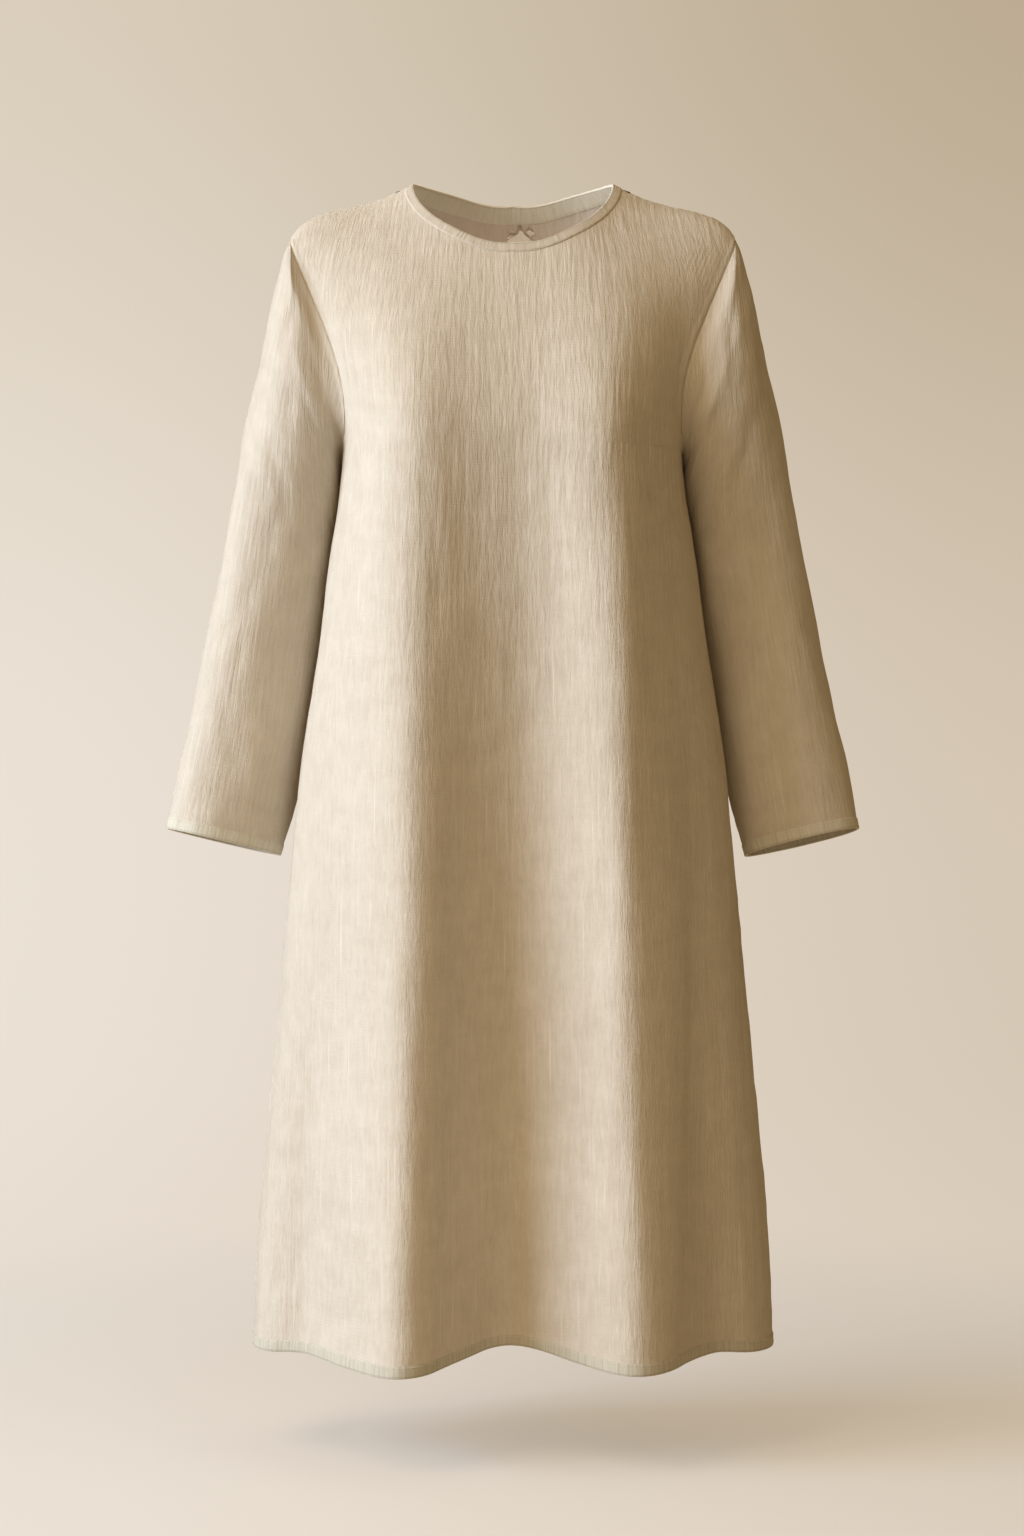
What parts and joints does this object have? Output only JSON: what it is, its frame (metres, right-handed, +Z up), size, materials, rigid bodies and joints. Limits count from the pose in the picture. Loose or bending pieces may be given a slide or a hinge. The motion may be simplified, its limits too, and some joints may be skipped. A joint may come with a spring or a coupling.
{
  "type": "linen dress",
  "caption": "Long-sleeved A-line midi dress of crinkled linen, filled out as if worn, with a bound round neck and narrow bands at hem and cuffs.",
  "frame": {"origin": "midway between the two neck points, where the wearer's shoulders hold the dress", "axes": "+Z up, along the dress; the dress faces -Y; +X towards the wearer's left"},
  "size_m": [0.6756, 0.3309, 1.1309],
  "materials": {
    "linen": "crinkled plain weave, matt",
    "sage_linen": "plain weave, matt, grey-green",
    "label_tape": "frayed pale tape"
  },
  "bodies": {
    "root": {"front_panel": "linen", "back_panel": "linen", "sleeve_left": "linen", "sleeve_right": "linen", "neck_binding": "sage_linen", "hem_binding": "sage_linen", "cuff_binding_left": "sage_linen", "cuff_binding_right": "sage_linen", "label_stub": "label_tape"}
  },
  "joints": []
}
